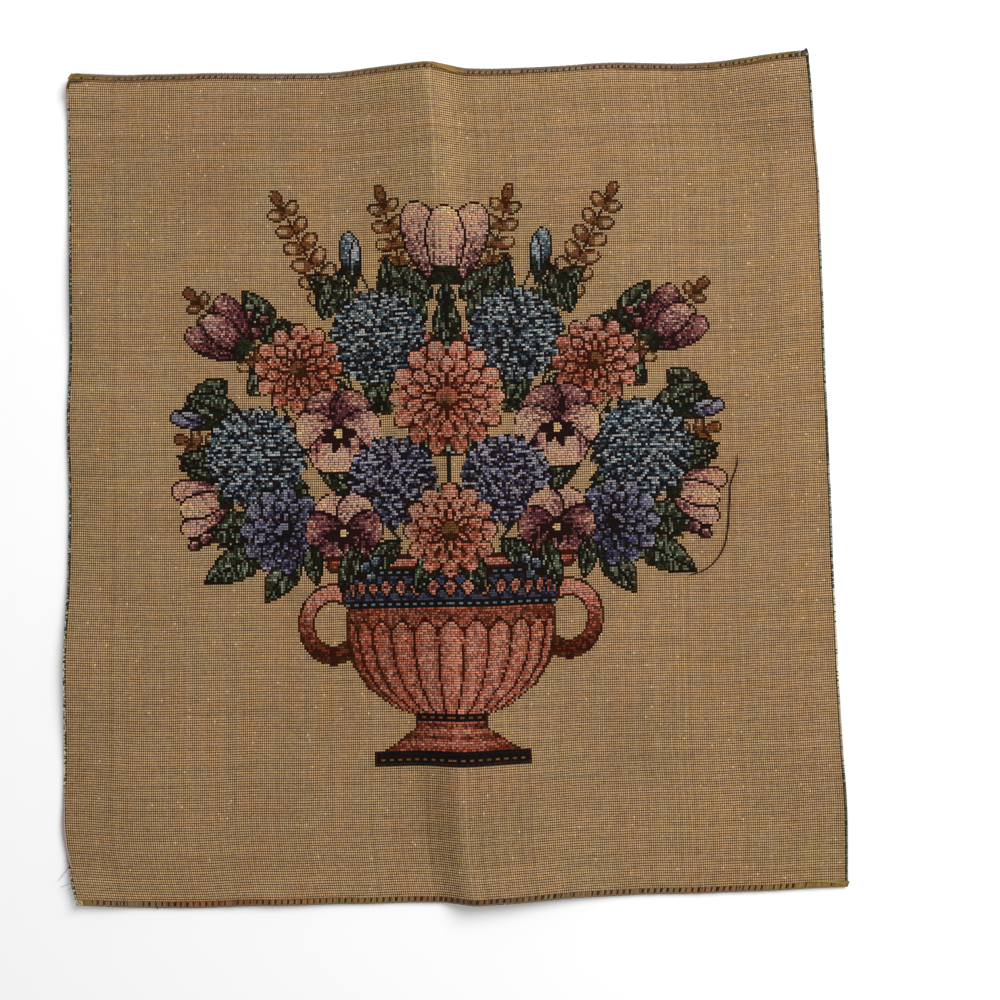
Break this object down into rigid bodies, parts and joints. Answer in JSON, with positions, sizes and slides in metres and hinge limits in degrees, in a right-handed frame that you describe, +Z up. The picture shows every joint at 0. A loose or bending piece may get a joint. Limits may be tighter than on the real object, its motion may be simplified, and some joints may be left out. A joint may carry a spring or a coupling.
{
  "type": "needlepoint canvas panel",
  "caption": "Tan needlepoint cloth panel with a flower-urn design, overlocked edges and a raised fold line down its middle, lying face up.",
  "frame": {"origin": "middle of the outline, on the surface that the panel lies on", "axes": "+X to the right of the design, +Y towards the top edge of the design, +Z up out of the stitched face"},
  "size_m": [0.4578, 0.502, 0.0114],
  "materials": {
    "tan_wool_needlepoint": "matt, ribbed wool stitches on a tan ground with a flower design"
  },
  "bodies": {
    "root": {"panel": "tan_wool_needlepoint"}
  },
  "joints": []
}
